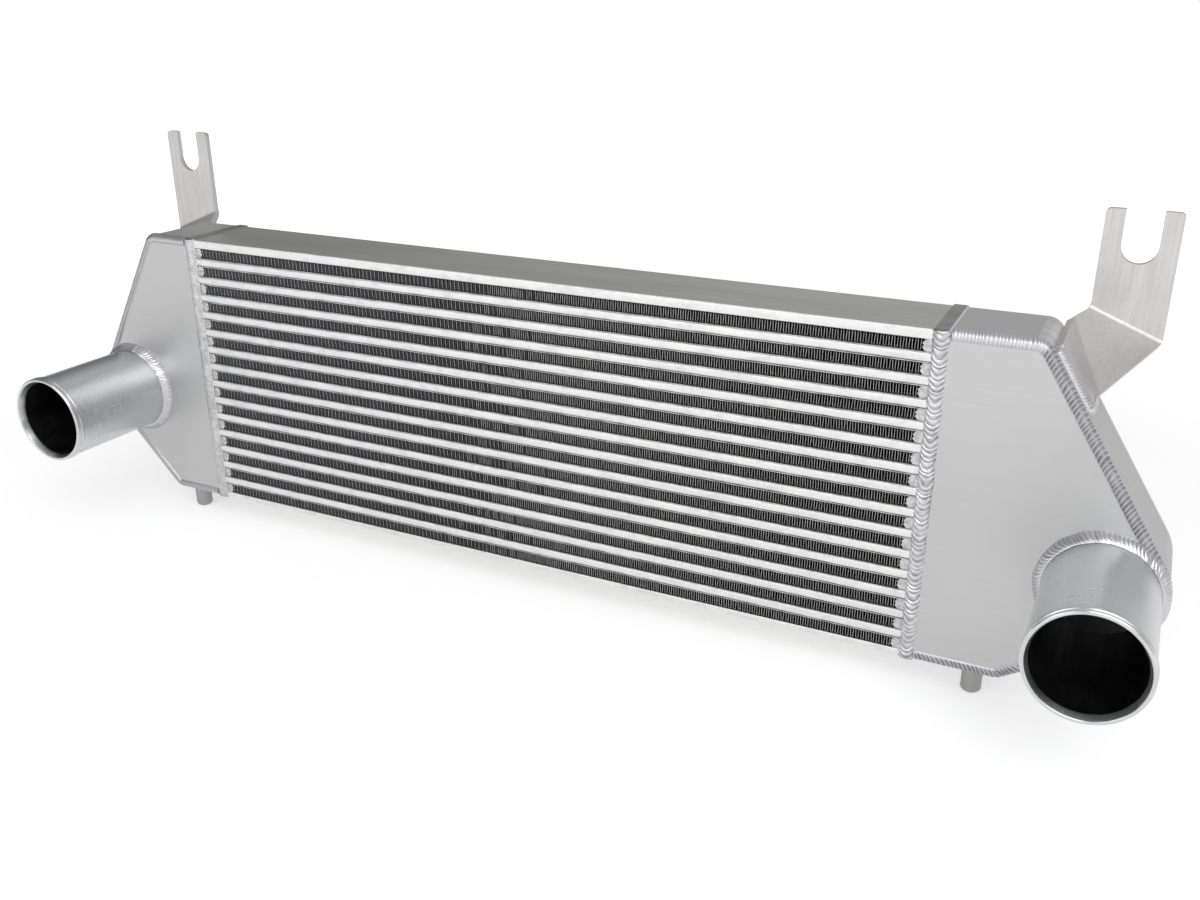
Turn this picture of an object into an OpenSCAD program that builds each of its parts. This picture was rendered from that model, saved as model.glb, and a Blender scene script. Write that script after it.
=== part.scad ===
// Air to air intercooler: a bar and plate core between two welded sheet tanks.
// Millimetres, Z up. X runs along the core, and the cooling air blows in along Y.
// The origin lies midway between the two locating pegs, level with the underside.

/* [Core] */
// Number of charge air tubes
tube_rows = 14; // [6:1:20]
// Clear height of one charge air tube, which is the height of its bars
tube_h = 6.2; // [4:0.1:10]
// Clear height of one cooling air row
fin_h = 8; // [5:0.1:14]
// Thickness of the separator sheets
sheet_t = 0.5; // [0.3:0.1:1]
// Length of the core between the tanks
core_w = 614; // [400:1:900]
// Depth of the core from front to back
core_d = 64; // [50:1:100]
// Thickness of the plate that closes the core at the top
top_plate_t = 7; // [4:0.5:12]
// Thickness of the plate that closes the core at the bottom
bottom_plate_t = 4.5; // [3:0.5:12]
// Depth of the bars that close each tube at the front and back
bar_d = 8; // [5:0.5:14]
// Edge chamfer of those bars
bar_edge = 0.9; // [0.4:0.1:1.8]
// Length of the bars that close each cooling row at its ends, nose included
end_bar_w = 12.5; // [8:0.5:24]
// Length of the pointed nose on those bars
nose_l = 3; // [1:0.5:6]

/* [Fins] */
// Distance from one crest of a cooling fin to the next
fin_pitch = 11.8; // [9:0.1:20]
// Thickness of the fin sheet
fin_t = 0.3; // [0.2:0.05:0.5]
// Distance that the fins stand back from the bars
fin_inset = 1.5; // [0.5:0.5:4]
// Distance from one crest of a tube turbulator to the next
turbulator_pitch = 48; // [30:1:80]

/* [Tanks] */
// Thickness of the tank sheet
wall_t = 3; // [2:0.5:4]
// Length of the flat top of the left tank
left_top_w = 40; // [34:0.5:60]
// Length of the flat top of the right tank
right_top_w = 54.5; // [40:0.5:70]
// Length of the flat underside of the left tank
left_bottom_w = 50; // [50:0.5:60]
// Length of the flat underside of the right tank
right_bottom_w = 57.5; // [50:0.5:70]
// Outside radius of the bend at the top corner of a tank
top_bend_r = 12; // [8:0.5:20]
// Outside radius of the bend at the bottom corner of a tank
bottom_bend_r = 8; // [7:0.5:14]
// Distance from a pipe to the round end of its tank
end_gap = 4; // [3:0.5:8]

/* [Pipes] */
// Outside diameter of the pipes
pipe_d = 70; // [60:0.5:76]
// Wall thickness of the pipes
pipe_wall = 3.5; // [2:0.5:5]
// Length of the pipes in front of the tanks
pipe_len = 98; // [70:1:140]
// Distance from the left end of the core to its pipe's axis
left_pipe_out = 86; // [84:1:110]
// Distance from the right end of the core to its pipe's axis
right_pipe_out = 113; // [100:1:130]
// Height of the left pipe's axis
left_pipe_z = 91; // [80:1:110]
// Height of the right pipe's axis
right_pipe_z = 79; // [72:1:100]
// Length of the raised rings that keep a hose on
hose_ring_l = 7; // [5:0.5:12]
// Height of the raised rings
hose_ring_h = 1; // [0.5:0.1:2]
// Depth of the chamfer inside the mouth
mouth_chamfer = 4; // [2:0.5:8]

/* [Brackets] */
// Thickness of the bracket sheet
bracket_t = 4.8; // [3:0.1:6]
// Width of the fork
fork_w = 46; // [38:0.5:54]
// Width of the slot in the fork
slot_w = 22.5; // [16:0.5:26]
// Distance from the tip of the fork to the centre of the slot's round end
slot_l = 23; // [16:0.5:30]
// Distance that the fork stands behind the front of the core
fork_y = 94; // [88:1:104]
// Distance from the left end of the core to the middle of its fork
left_fork_out = 84; // [78:1:90]
// Distance from the right end of the core to the middle of its fork
right_fork_out = 100; // [94:1:106]
// Height of the tip of the left fork
left_fork_top = 305; // [290:1:325]
// Height of the tip of the right fork
right_fork_top = 298; // [284:1:318]
// Slope of the fold under the fork
fork_fold_a = 22; // [18:1:26]
// Distance from the front of the tank to the front edge of the bracket's foot
foot_y = 12; // [12:0.5:16]
// Length of the foot along the sloping side of the tank
foot_l = 44; // [42:1:48]
// Distance from the front at which the fold of the foot starts, at its top
foot_fold_y = 82; // [76:1:86]

/* [Pegs] */
// Diameter of the locating pegs
peg_d = 14; // [10:0.5:16]
// Length of the pegs below the tanks
peg_len = 24; // [14:1:30]
// Chamfer at the tip of a peg
peg_chamfer = 2.5; // [1:0.5:4]
// Distance from the end of the core to the axis of a peg
peg_out = 43; // [20:1:43]
// Distance from the front of the tanks to the axis of the pegs
peg_y = 17; // [12:1:40]

/* [Welds] */
// Width of the weld between the core and a tank
core_weld_w = 12; // [8:0.5:14]
// Height of that weld
core_weld_h = 2.2; // [1:0.1:3]
// Reach of the seam welds on each of the two faces that they join
seam_w = 6.5; // [4:0.5:6.5]
// Reach of a pipe weld on the face of its tank
pipe_weld_w = 5.5; // [4:0.5:8]
// Reach of a pipe weld along its pipe
pipe_weld_h = 6.5; // [4:0.5:10]
// Reach of a bracket weld along the tank
foot_weld_w = 5.5; // [3:0.5:5.5]

/* [Hidden] */
$fn = 96;

// Colours
sheet_colour = [0.80, 0.80, 0.79];
core_colour = [0.64, 0.65, 0.62];
bar_colour = [0.86, 0.86, 0.85];
fin_colour = [0.34, 0.34, 0.34];
pipe_colour = [0.83, 0.84, 0.85];
weld_colour = [0.78, 0.78, 0.82];
bracket_colour = [0.84, 0.83, 0.81];
peg_colour = [0.62, 0.62, 0.61];

// Heights of the stack
row_step = fin_h + tube_h + 2 * sheet_t;
core_h = bottom_plate_t + tube_rows * row_step + fin_h + top_plate_t;
fin_span = core_w - 2 * end_bar_w;

// Pipes and the round ends of the tanks
pipe_r = pipe_d / 2;
end_r = pipe_r + end_gap;

// Small fixed details
cut = 1;
weld_steps = 8;
weld_stop = 0.05;
hair = 0.01;
fold_lap = 0.6;
fold_step = 0.2;
lip_gap = 0.5;
mouth_bevel = 0.55;
fork_round = 3;

// Depth of the centre of a seam weld's round, which just covers the corner of the sheets
seam_sink = 0.49 * seam_w;

// Sizes that differ between the two tanks
TOP_W = 0;
BOTTOM_W = 1;
PIPE_OUT = 2;
PIPE_Z = 3;
FORK_OUT = 4;
FORK_TOP = 5;
left = [left_top_w, left_bottom_w, left_pipe_out, left_pipe_z, left_fork_out, left_fork_top];
right = [right_top_w, right_bottom_w, right_pipe_out, right_pipe_z, right_fork_out, right_fork_top];

// Heights in the core, counted from the lowest cooling row
function fin_z(row) = bottom_plate_t + row * row_step;
function tube_z(row) = fin_z(row) + fin_h + sheet_t;

// Direction at an angle, from X towards Z
function dir(a) = [cos(a), sin(a)];
function unit(v) = v / norm(v);

// Outward angle of the line that touches two circles, each [centre, radius], going clockwise
function touch_angle(c1, c2) =
    let (d = c2[0] - c1[0])
    atan2(d[1], d[0]) + acos((c1[1] - c2[1]) / norm(d));

// Corner circles of a tank's outline, from the end of the core outwards
function top_circle(t) = [[t[TOP_W], core_h - top_bend_r], top_bend_r];
function end_circle(t) = [[t[PIPE_OUT], t[PIPE_Z]], end_r];
function bottom_circle(t) = [[t[BOTTOM_W], bottom_bend_r], bottom_bend_r];
function upper_angle(t) = touch_angle(top_circle(t), end_circle(t));
function lower_angle(t) = touch_angle(end_circle(t), bottom_circle(t));

// Point of a corner circle at an angle, moved inwards
function rim(circle, a, inset = 0) = circle[0] + (circle[1] - inset) * dir(a);

// Everything below is drawn from the front of the core, then moved to the pegs
module in_frame() {
    translate([0, -peg_y, 0]) children();
}

// Moves a tank drawn from the end of the core to the left or right end
module on_right() {
    in_frame() translate([core_w / 2, 0, 0]) children();
}

module on_left() {
    mirror([1, 0, 0]) on_right() children();
}

// Gives an upright outline its thickness from y0 back to y1
module upright(y0, y1) {
    translate([0, y1, 0]) rotate([90, 0, 0]) linear_extrude(y1 - y0) children();
}

// Disc of a corner circle, moved inwards
module disc(circle, inset = 0) {
    translate(circle[0]) circle(circle[1] - inset);
}

// Outline of a tank seen from the front, moved inwards by a distance
module tank_outline(t, inset = 0) {
    top = top_circle(t);
    end = end_circle(t);
    bottom = bottom_circle(t);
    up = upper_angle(t);
    low = lower_angle(t);

    // The straight sides lie a hair inside the corner discs, so that they cross them
    side = inset + hair;
    polygon([
        [0, side], rim(bottom, -90, side), rim(bottom, low, side), rim(end, low, side),
        rim(end, up, side), rim(top, up, side), rim(top, 90, side), [0, core_h - side]
    ]);
    disc(top, inset);
    disc(end, inset);
    disc(bottom, inset);
}

// Core plates
module core_plate(z, thickness) {
    in_frame() translate([-core_w / 2, 0, z]) cube([core_w, core_d, thickness]);
}

module core_top_plate() {
    color(core_colour) core_plate(core_h - top_plate_t, top_plate_t);
}

module core_bottom_plate() {
    color(core_colour) core_plate(0, bottom_plate_t);
}

// Sheets above and below each tube
module separator_sheets() {
    color(bar_colour)
        for (row = [0 : tube_rows - 1]) {
            core_plate(tube_z(row) - sheet_t, sheet_t);
            core_plate(tube_z(row) + tube_h, sheet_t);
        }
}

// Section of a tube bar, its outer edges chamfered, with the outside at y = 0
module tube_bar_section() {
    polygon([
        [bar_edge, 0], [tube_h - bar_edge, 0], [tube_h, bar_edge],
        [tube_h, bar_d], [0, bar_d], [0, bar_edge]
    ]);
}

module tube_bars() {
    for (row = [0 : tube_rows - 1])
        translate([core_w / 2, 0, tube_z(row)]) rotate([0, -90, 0])
            linear_extrude(core_w) tube_bar_section();
}

module front_tube_bars() {
    color(bar_colour) in_frame() tube_bars();
}

module rear_tube_bars() {
    color(bar_colour) in_frame() translate([0, core_d, 0]) mirror([0, 1, 0]) tube_bars();
}

// Bars that close the cooling rows, with a pointed nose towards the fins
module end_bars() {
    for (row = [0 : tube_rows])
        upright(0, core_d)
            polygon([
                [0, fin_z(row)], [0, fin_z(row) + fin_h],
                [nose_l - end_bar_w, fin_z(row) + fin_h],
                [-end_bar_w, fin_z(row) + fin_h / 2],
                [nose_l - end_bar_w, fin_z(row)]
            ]);
}

module left_end_bars() {
    color(bar_colour) on_left() end_bars();
}

module right_end_bars() {
    color(bar_colour) on_right() end_bars();
}

// One strip of corrugated sheet, whose crests touch z = 0 and z = height
module corrugated_strip(span, height, pitch, y0, y1) {
    folds = 2 * floor(span / pitch);
    step = span / folds;
    thick = fin_t * norm([step, height]) / step;
    function crest(i, low, high) = [i * step - span / 2, i % 2 == 0 ? low : high];
    upright(y0, y1)
        polygon(concat(
            [for (i = [0 : folds]) crest(i, thick, height)],
            [for (i = [folds : -1 : 0]) crest(i, 0, height - thick)]
        ));
}

module cooling_fins() {
    color(fin_colour) in_frame()
        for (row = [0 : tube_rows])
            translate([0, 0, fin_z(row)])
                corrugated_strip(fin_span, fin_h, fin_pitch, fin_inset, core_d - fin_inset);
}

module tube_turbulators() {
    color(fin_colour) in_frame()
        for (row = [0 : tube_rows - 1])
            translate([0, 0, tube_z(row)])
                corrugated_strip(core_w, tube_h, turbulator_pitch, bar_d, core_d - bar_d);
}

// Tank sheets
module tank_front(t) {
    color(sheet_colour) upright(0, wall_t)
        difference() {
            tank_outline(t, wall_t);
            translate([t[PIPE_OUT], t[PIPE_Z]]) circle(pipe_r);
        }
}

module tank_back(t) {
    color(sheet_colour) upright(core_d - wall_t, core_d) tank_outline(t, wall_t);
}

module tank_top(t) {
    color(sheet_colour) translate([0, 0, core_h - wall_t]) cube([t[TOP_W], core_d, wall_t]);
}

// One sheet bent round the top corner, the pipe's end and the bottom corner
module tank_wrap(t) {
    color(sheet_colour) upright(0, core_d)
        difference() {
            tank_outline(t);
            tank_outline(t, wall_t);
            translate([-cut, core_h - top_bend_r]) square([t[TOP_W] + cut, top_bend_r + cut]);
        }
}

// Turned pipe with two raised rings at the mouth and a chamfer inside it
module pipe(t) {
    lip = hose_ring_l * 0.4;
    bore = pipe_r - pipe_wall;
    ring = pipe_r + hose_ring_h;
    color(pipe_colour)
        translate([t[PIPE_OUT], -pipe_len, t[PIPE_Z]]) rotate([-90, 0, 0])
            rotate_extrude()
                polygon([
                    [bore, mouth_chamfer], [bore + pipe_wall * mouth_bevel, 0],
                    [pipe_r, 0], [ring - lip_gap, lip_gap], [ring - lip_gap, lip - lip_gap],
                    [pipe_r, lip], [pipe_r, lip + lip_gap], [ring, lip + 2 * lip_gap],
                    [ring, hose_ring_l - lip_gap], [pipe_r, hose_ring_l + lip_gap],
                    [pipe_r, pipe_len + wall_t], [bore, pipe_len + wall_t]
                ]);
}

// Peg with a chamfered tip
module peg() {
    color(peg_colour)
        translate([peg_out, peg_y, -peg_len])
            rotate_extrude()
                polygon([
                    [0, 0], [peg_d / 2 - peg_chamfer, 0], [peg_d / 2, peg_chamfer],
                    [peg_d / 2, peg_len], [0, peg_len]
                ]);
}

// Frame on the sloping side of a tank: X down the slope, Y back, Z outwards
module on_slope(t) {
    a = upper_angle(t);
    start = rim(top_circle(t), a);
    multmatrix([
        [sin(a), 0, cos(a), start[0]],
        [0, 1, 0, 0],
        [-cos(a), 0, sin(a), start[1]],
        [0, 0, 0, 1]
    ])
        children();
}

// Point of the slope frame in the frame of the tank
function slope_point(t, s, y, n) =
    let (a = upper_angle(t), p = rim(top_circle(t), a) + s * dir(a - 90) + n * dir(a))
    [p[0], y, p[1]];

// Flat sheet with the given corners, whose visible face has the given normal
module sheet_panel(corners, normal) {
    ex = unit(corners[1] - corners[0]);
    ey = cross(normal, ex);
    o = corners[0];
    multmatrix([
        [ex[0], ey[0], normal[0], o[0]],
        [ex[1], ey[1], normal[1], o[1]],
        [ex[2], ey[2], normal[2], o[2]],
        [0, 0, 0, 1]
    ])
        translate([0, 0, -bracket_t]) linear_extrude(bracket_t)
            polygon([for (p = corners) [(p - o) * ex, (p - o) * ey]]);
}

// Metal inside a fold between two sheets, from p0 to p1, a hair below their faces
module fold_fill(p0, p1, n0, n1) {
    ez = unit(p1 - p0);
    ex = -n0;
    ey = cross(ez, ex);
    n2 = [n1 * ex, n1 * ey];
    side = n2[1] > 0 ? 1 : -1;
    into_0 = [0, side * bracket_t];
    into_1 = [-n2[1], n2[0]] * side * bracket_t;
    deep = bracket_t - hair;
    function corner(depth) = ([1, 0] - n2) * depth / (1 + n0 * n1);
    multmatrix([
        [ex[0], ey[0], ez[0], p0[0]],
        [ex[1], ey[1], ez[1], p0[1]],
        [ex[2], ey[2], ez[2], p0[2]],
        [0, 0, 0, 1]
    ])
        translate([0, 0, 2 * fold_step]) linear_extrude(norm(p1 - p0) - 4 * fold_step)
            polygon([
                into_0 + [hair, 0], into_0 + [deep, 0], corner(deep),
                into_1 - deep * n2, into_1 - hair * n2, corner(hair)
            ]);
}

// Hanging bracket: a foot on the slope, a raised web, and a fork that faces forwards
module bracket(t) {
    a = upper_angle(t);
    foot_n = [cos(a), 0, sin(a)];
    fork_n = [0, -1, 0];
    x0 = t[FORK_OUT] - fork_w / 2;
    x1 = t[FORK_OUT] + fork_w / 2;
    tip = t[FORK_TOP];

    // The foot's fold runs at 45 degrees, and the web holds it and the fork's fold
    fold_a = slope_point(t, 0, foot_fold_y, bracket_t);
    fold_b = slope_point(t, foot_l, foot_fold_y - foot_l, bracket_t);
    fork_dir = [cos(fork_fold_a), 0, -sin(fork_fold_a)];
    web_n = unit(cross(fold_b - fold_a, fork_dir));
    function fold_z(x) =
        fold_a[2] - (web_n[0] * (x - fold_a[0]) + web_n[1] * (fork_y - fold_a[1])) / web_n[2];
    fork_a = [x0, fork_y, fold_z(x0)];
    fork_b = [x1, fork_y, fold_z(x1)];

    // The sheets run a little past their folds and cross there, and the web is a hair narrower
    along = unit(fold_b - fold_a);
    into_web = unit(cross(web_n, along));
    past_foot = fold_lap * cross(foot_n, along);
    past_fork = fold_lap * cross(web_n, fork_dir);
    web_a = fold_a + fold_step * along - fold_lap * into_web;
    web_b = fold_b - fold_step * along - fold_lap * into_web;
    heel = fold_b - fold_step * along + 1.5 * bracket_t * into_web;

    color(bracket_colour) {
        sheet_panel([
            slope_point(t, 0, foot_y, bracket_t), slope_point(t, foot_l, foot_y, bracket_t),
            fold_b, fold_b + past_foot, fold_a + past_foot, fold_a
        ], foot_n);
        fold_fill(fold_a, fold_b, foot_n, web_n);
        sheet_panel([
            web_a, web_b, heel,
            fork_b - fold_step * fork_dir + past_fork, fork_a + fold_step * fork_dir + past_fork
        ], web_n);
        fold_fill(fork_a, fork_b, web_n, fork_n);
        upright(fork_y, fork_y + bracket_t)
            difference() {
                fork_outline(x0, x1, fork_a[2] - fold_lap, fork_b[2] - fold_lap, tip);
                translate([t[FORK_OUT], tip - slot_l]) circle(slot_w / 2);
                translate([t[FORK_OUT] - slot_w / 2, tip - slot_l])
                    square([slot_w, slot_l + cut]);
            }
    }
}

// Fork before its slot is cut, with rounded outer tips
module fork_outline(x0, x1, z0, z1, tip) {
    polygon([
        [x0, z0], [x1, z1], [x1, tip - fork_round], [x1 - fork_round, tip - fork_round],
        [x1 - fork_round, tip], [x0 + fork_round, tip],
        [x0 + fork_round, tip - fork_round], [x0, tip - fork_round]
    ]);
    disc([[x1 - fork_round, tip - fork_round], fork_round]);
    disc([[x0 + fork_round, tip - fork_round], fork_round]);
}

// Section of the core weld: across the joint first, then its height
function dome(width, height) = [
    for (i = [0 : weld_steps])
        let (u = 2 * i / weld_steps - 1)
        [u * width / 2, height * (1 - u * u)]
];

// Weld that runs round the joint between the core and a tank
module core_weld() {
    section = dome(core_weld_w, core_weld_h);
    corners = [[0, 0, core_h], [0, core_h, core_d], [core_d, core_h, core_h], [core_d, 0, core_d]];
    color(weld_colour)
        for (i = [0 : 3])
            translate([0, corners[i][0], corners[i][1]]) rotate([-90 * i, 0, 0]) {
                linear_extrude(corners[i][2]) polygon([for (p = section) [p[0], -p[1]]]);
                translate([0, 0, corners[i][2]]) rotate([0, 90, 0]) rotate([0, 0, 180])
                    rotate_extrude(angle = 90) polygon([for (p = section) [p[1], p[0]]]);
            }
}

// Section of a seam weld round the outer corner of two sheets, with that corner at [0, 0]
function seam_section(face = true) =
    let (
        r = norm([seam_w - seam_sink, seam_sink]),
        a0 = face ? 180 - asin(seam_sink / r) : asin(seam_sink / r),
        a1 = asin(seam_sink / r) - 90
    )
    concat([[0, 0]], [
        for (i = [0 : weld_steps]) [-seam_sink, -seam_sink] + r * dir(a0 + (a1 - a0) * i / weld_steps)
    ]);

// Straight stretch of seam weld from one point of the outline to another
module seam_run(p0, p1) {
    along = unit(p1 - p0);
    start = p0 + weld_stop * along;
    translate([start[0], 0, start[1]]) rotate([0, -90 - atan2(along[1], along[0]), 0])
        rotate([180, 0, 0]) linear_extrude(norm(p1 - p0) - 2 * weld_stop) polygon(seam_section());
}

// Curved stretch of seam weld round a corner circle, clockwise from a0 to a1
module seam_bend(circle, a0, a1, face = true) {
    translate([circle[0][0], 0, circle[0][1]]) rotate([90, 0, 0]) rotate([0, 0, a1])
        rotate_extrude(angle = a0 - a1)
            polygon([for (p = seam_section(face)) p + [circle[1], 0]]);
}

// Seam weld round one edge of a tank, from the core weld back to the core weld
module seam(t, end_face) {
    top = top_circle(t);
    end = end_circle(t);
    bottom = bottom_circle(t);
    up = upper_angle(t);
    low = lower_angle(t);
    start = core_weld_w / 2;
    seam_run([start, core_h], rim(top, 90));
    seam_bend(top, 90, up);
    seam_run(rim(top, up), rim(end, up));
    seam_bend(end, up, low, end_face);
    seam_run(rim(end, low), rim(bottom, low));
    seam_bend(bottom, low, -90);
    seam_run(rim(bottom, -90), [start, 0]);
}

// The pipe weld takes the place of the front seam's face near the pipe
module front_seam(t) {
    reach = pipe_r + pipe_weld_w;
    color(weld_colour)
        difference() {
            seam(t, false);
            translate([t[PIPE_OUT], 0, t[PIPE_Z]]) rotate([90, 0, 0])
                cylinder(h = seam_w, r = reach);
        }
}

// The foot of the bracket lies across the place of the back seam
module back_seam(t) {
    color(weld_colour)
        difference() {
            translate([0, core_d, 0]) mirror([0, 1, 0]) seam(t, true);
            on_slope(t) translate([-cut, core_d - seam_w - cut, 0])
                cube([foot_l + cut, seam_w + 2 * cut, bracket_t]);
        }
}

// Weld between a pipe and the front sheet
module pipe_weld(t) {
    color(weld_colour)
        translate([t[PIPE_OUT], 0, t[PIPE_Z]]) rotate([90, 0, 0])
            rotate_extrude()
                polygon(concat([[pipe_r, 0]], [
                    for (i = [0 : weld_steps])
                        let (a = 90 * i / weld_steps)
                        [pipe_r + pipe_weld_w * cos(a), pipe_weld_h * sin(a)]
                ]));
}

// Weld along the front edge of a bracket's foot
module bracket_weld(t) {
    color(weld_colour)
        on_slope(t) translate([0, foot_y, 0]) rotate([90, 0, 90])
            linear_extrude(foot_l)
                polygon(concat([[0, 0]], [
                    for (i = [0 : weld_steps])
                        let (a = 90 * i / weld_steps)
                        [-foot_weld_w * cos(a), bracket_t * sin(a)]
                ]));
}

core_top_plate();
core_bottom_plate();
separator_sheets();
front_tube_bars();
rear_tube_bars();
left_end_bars();
right_end_bars();
cooling_fins();
tube_turbulators();
on_left() tank_front(left);  // left_tank_front
on_left() tank_back(left);  // left_tank_back
on_left() tank_top(left);  // left_tank_top
on_left() tank_wrap(left);  // left_tank_wrap
on_left() pipe(left);  // left_pipe
on_left() bracket(left);  // left_bracket
on_left() peg();  // left_peg
on_left() core_weld();  // left_core_weld
on_left() front_seam(left);  // left_front_seam
on_left() back_seam(left);  // left_back_seam
on_left() pipe_weld(left);  // left_pipe_weld
on_left() bracket_weld(left);  // left_bracket_weld
on_right() tank_front(right);  // right_tank_front
on_right() tank_back(right);  // right_tank_back
on_right() tank_top(right);  // right_tank_top
on_right() tank_wrap(right);  // right_tank_wrap
on_right() pipe(right);  // right_pipe
on_right() bracket(right);  // right_bracket
on_right() peg();  // right_peg
on_right() core_weld();  // right_core_weld
on_right() front_seam(right);  // right_front_seam
on_right() back_seam(right);  // right_back_seam
on_right() pipe_weld(right);  // right_pipe_weld
on_right() bracket_weld(right);  // right_bracket_weld
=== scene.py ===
"""Dressed model of an intercooler: a bar and plate core between two welded sheet tanks."""
import logging
import math
from collections.abc import Callable, Iterable, Sequence
from dataclasses import dataclass
from enum import Enum

import bmesh
import bpy
from mathutils import Matrix, Vector, noise


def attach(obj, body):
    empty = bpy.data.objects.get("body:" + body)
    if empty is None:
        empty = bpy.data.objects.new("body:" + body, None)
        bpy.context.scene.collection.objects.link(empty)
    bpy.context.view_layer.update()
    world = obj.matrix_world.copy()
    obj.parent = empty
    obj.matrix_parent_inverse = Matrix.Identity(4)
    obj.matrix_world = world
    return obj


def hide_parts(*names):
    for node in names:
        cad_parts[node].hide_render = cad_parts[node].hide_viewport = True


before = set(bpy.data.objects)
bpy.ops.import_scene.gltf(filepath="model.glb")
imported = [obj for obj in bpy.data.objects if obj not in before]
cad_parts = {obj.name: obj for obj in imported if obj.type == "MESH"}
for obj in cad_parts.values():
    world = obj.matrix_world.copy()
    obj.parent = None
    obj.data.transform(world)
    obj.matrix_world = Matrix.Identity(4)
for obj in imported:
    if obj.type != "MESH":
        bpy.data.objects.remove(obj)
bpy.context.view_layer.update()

LOG = logging.getLogger("intercooler")
BODY = "root"
TAU = 2 * math.pi
QUARTER = math.pi / 2
MM = 0.001
FRONT = 17.0  # mm from the front of the core to the frame's plane Y = 0
MIDDLE = 0.015  # Y of the core's middle plane, in metres
MERGE = 1e-4  # mm within which vertices become one
BEAD_SHARP = 80.0  # degrees from which an edge of a weld stays sharp
BEAD_FACES = 20  # faces round a weld's section
FACE_SHARE = 0.86  # share of a fillet's section that shows, before its hidden heel
HEEL_SHARE = 0.88  # share of it from which the heel starts
PLAIN = 0.5  # ripple value where a weld is hidden


class Side(Enum):
    """The two ends of the core, with the sign of X on which each one lies."""

    LEFT = -1
    RIGHT = 1

    @property
    def word(self) -> str:
        """The side's name in lower case, as the nodes' names start."""
        return self.name.lower()


class Slot(Enum):
    """The record's material slots."""

    TANK = "tank_sheet"
    PLATE = "core_plate"
    BAR = "core_bar"
    FIN = "fin_sheet"
    PIPE = "pipe_metal"
    WELD = "weld_bead"
    BRACKET = "bracket_sheet"
    PEG = "peg_metal"


class Pattern(Enum):
    """The texture that a layer of a finish is drawn with."""

    NOISE = "ShaderNodeTexNoise"
    DEPTH = "ShaderNodeSeparateXYZ"


Triple = tuple[float, float, float]
Socket = bpy.types.NodeSocket
Value = Socket | float | Sequence[float]


@dataclass(frozen=True)
class Graph:
    """A node tree, with short ways to add the nodes that repeat in it."""

    tree: bpy.types.NodeTree

    def add(self, kind: str) -> bpy.types.Node:
        """Adds a node of this kind."""
        return self.tree.nodes.new(kind)

    def feed(self, socket: Socket, value: Value) -> None:
        """Links a socket to another one, or sets it to a plain value."""
        if isinstance(value, bpy.types.NodeSocket):
            self.tree.links.new(value, socket)
        else:
            socket.default_value = value

    def math(self, operation: str, *values: Value) -> Socket:
        """Adds a Math node on these values and returns its result."""
        node = self.add("ShaderNodeMath")
        node.operation = operation
        for socket, value in zip(node.inputs, values):
            self.feed(socket, value)
        return node.outputs[0]

    def span(self, value: Socket, *limits: float) -> Socket:
        """Brings a value from one range to another, or to 0 to 1, and clamps it there.

        Args:
            value: The value.
            limits: Where its range starts and ends, then where the new one does.

        Returns:
            The new value's socket.
        """
        node = self.add("ShaderNodeMapRange")
        for name, limit in zip(("From Min", "From Max", "To Min", "To Max"), limits):
            self.feed(node.inputs[name], limit)
        self.feed(node.inputs["Value"], value)
        return node.outputs[0]

    def mix(self, below: Value, tint: Triple, value: Socket, share: float) -> Socket:
        """Mixes a tint over the colour so far.

        Args:
            below: The colour so far.
            tint: The colour to mix in.
            value: Where the tint shows, from 0 to 1.
            share: How much of it shows at 1.

        Returns:
            The mixed colour's socket.
        """
        amount = self.math("MULTIPLY", value, share)
        amount.node.use_clamp = True
        node = self.add("ShaderNodeMix")
        node.data_type = "RGBA"
        self.feed(node.inputs["Factor"], amount)
        colours = [s for s in node.inputs if s.type == "RGBA"]
        for socket, colour in zip(colours, (below, (*tint, 1))):
            self.feed(socket, colour)
        return next(s for s in node.outputs if s.type == "RGBA")


@dataclass(frozen=True)
class Layer:
    """One pattern of a finish, which changes its colour, gloss and height together.

    The scale is in features per metre along X, Y and Z, and DEPTH gives the distance from the
    core's middle plane in metres. The pattern's values from low to high become 0 to 1. At 1 the
    tint shows by its share, the gloss is added to the roughness, and the surface stands higher
    by the height, in metres.
    """

    scale: Triple
    low: float = 0.35
    high: float = 0.65
    tint: Triple = (0.5, 0.5, 0.5)
    share: float = 0.0
    gloss: float = 0.0
    height: float = 0.0
    detail: float = 3.0
    warp: float = 0.0
    pattern: Pattern = Pattern.NOISE


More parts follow.
